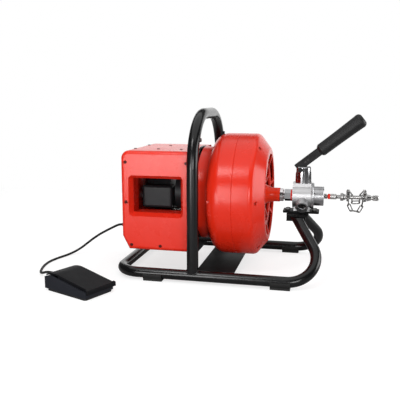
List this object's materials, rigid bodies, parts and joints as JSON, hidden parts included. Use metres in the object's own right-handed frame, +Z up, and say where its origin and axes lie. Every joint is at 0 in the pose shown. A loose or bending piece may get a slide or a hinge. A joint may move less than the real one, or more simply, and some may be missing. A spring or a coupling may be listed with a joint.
{
  "type": "drum drain cleaning machine",
  "caption": "Electric drum drain cleaner on a tube frame: red housing and spoked drum, roller feed unit with a lever, chain tool on the spiral and a foot switch on a cord.",
  "frame": {"origin": "on the floor, under the drum axis, in the plane of the carrying hoop", "axes": "+X along the drum axis towards the tool, +Y away from the operator's side, +Z up"},
  "size_m": [0.8232, 0.5169, 0.4],
  "materials": {
    "frame_paint": "satin",
    "red_plastic": "satin",
    "black_rubber": "matte",
    "black_plastic": "matte",
    "motor_paint": "satin",
    "bright_aluminium": "polished",
    "bright_chrome": "polished",
    "plain_steel": "brushed",
    "dark_screws": "satin"
  },
  "bodies": {
    "frame": {"base_frame": "frame_paint", "carry_hoop": "frame_paint", "cross_plate": "frame_paint", "rubber_feet": "black_rubber", "bearing_plate": "frame_paint", "bearing_housing": "bright_aluminium", "drum_bearings": "plain_steel", "frame_bolts": "dark_screws", "gear_case": "red_plastic", "motor_body": "motor_paint", "motor_spacers": "plain_steel", "capacitor_box": "black_plastic", "housing_band": "red_plastic", "near_cover": "red_plastic", "far_cover": "red_plastic", "housing_screws": "dark_screws", "cord_glands": "black_rubber", "front_bracket": "frame_paint", "feed_plate": "frame_paint", "feed_body": "bright_aluminium", "outlet_nozzle": "bright_aluminium", "feed_inlet": "bright_chrome", "inlet_ring": "red_plastic", "plunger_post": "bright_chrome", "lever_pivot": "frame_paint", "roller_carriers": "plain_steel", "plunger_spring": "plain_steel", "pedal_base": "black_rubber", "pedal_body": "black_plastic", "pedal_hinge_pin": "plain_steel", "pedal_spring": "plain_steel", "pedal_microswitch": "black_plastic", "pedal_gland": "black_rubber", "foot_switch_cord": "black_rubber"},
    "drum": {"drum_rear": "red_plastic", "drum_front": "red_plastic", "drum_screws": "dark_screws", "drum_shaft": "plain_steel", "drum_gear": "plain_steel", "nose_cone": "red_plastic", "nose_collar": "bright_chrome", "guide_tube": "plain_steel", "spiral_coil": "plain_steel"},
    "motor_rotor": {"motor_shaft": "plain_steel"},
    "spiral": {"spiral_shaft": "plain_steel", "spiral_end": "plain_steel", "tool_coupling": "plain_steel", "coupling_ring": "red_plastic", "chain_tool": "plain_steel"},
    "chain_set": {"chains": "plain_steel"},
    "lever": {"lever_bar": "frame_paint", "lever_grip": "black_plastic", "lever_screws": "dark_screws"},
    "plunger": {"plunger": "plain_steel"},
    "top_roller": {"top_roller": "plain_steel"},
    "near_roller": {"near_roller": "plain_steel"},
    "far_roller": {"far_roller": "plain_steel"},
    "treadle": {"treadle": "black_plastic"},
    "selector": {"selector_knob": "black_plastic"}
  },
  "joints": [
    {"name": "drum_spin", "type": "hinge", "parent": "frame", "child": "drum", "pos_m": [0, 0, 0.188], "axis": [1, 0, 0], "continuous": true},
    {"name": "motor_spin", "type": "hinge", "parent": "frame", "child": "motor_rotor", "pos_m": [0, 0.042, 0.188], "axis": [1, 0, 0], "continuous": true},
    {"name": "spiral_feed", "type": "slide", "parent": "drum", "child": "spiral", "axis": [1, 0, 0], "range_m": [0, 0.08]},
    {"name": "chain_swing", "type": "hinge", "parent": "spiral", "child": "chain_set", "pos_m": [0.36, 0, 0.188], "axis": [1, 0, 0], "range_deg": [-40, 40]},
    {"name": "lever_press", "type": "hinge", "parent": "frame", "child": "lever", "pos_m": [0.2325, 0, 0.2525], "axis": [0, 1, 0], "range_deg": [0, 25], "stiffness_Nm_per_rad": 1.5, "springref_deg": -20.05},
    {"name": "plunger_slide", "type": "slide", "parent": "frame", "child": "plunger", "axis": [0, 0, -1], "range_m": [0, 0.00345], "deforming": ["plunger_spring"]},
    {"name": "top_roller_spin", "type": "hinge", "parent": "plunger", "child": "top_roller", "pos_m": [0.2395, 0, 0.20736], "axis": [0.2588, 0.9659, 0], "continuous": true},
    {"name": "near_roller_spin", "type": "hinge", "parent": "frame", "child": "near_roller", "pos_m": [0.2395, -0.01377, 0.18005], "axis": [0.2588, -0.483, 0.8365], "continuous": true},
    {"name": "far_roller_spin", "type": "hinge", "parent": "frame", "child": "far_roller", "pos_m": [0.2395, 0.01377, 0.18005], "axis": [0.2588, -0.483, -0.8365], "continuous": true},
    {"name": "treadle_press", "type": "hinge", "parent": "frame", "child": "treadle", "pos_m": [-0.28127, -0.25075, 0.0147], "axis": [0.3923, 0.9198, 0], "range_deg": [0, 4], "stiffness_Nm_per_rad": 6, "springref_deg": -8.59, "deforming": ["pedal_spring"]},
    {"name": "selector_turn", "type": "hinge", "parent": "frame", "child": "selector", "pos_m": [-0.19, 0, 0.235], "axis": [1, 0, 0], "range_deg": [-45, 45]}
  ],
  "couplings": [
    {"joint": "motor_spin", "follows": "drum_spin", "ratio": -3},
    {"joint": "plunger_slide", "follows": "lever_press", "m_per_rad": 0.00779}
  ]
}
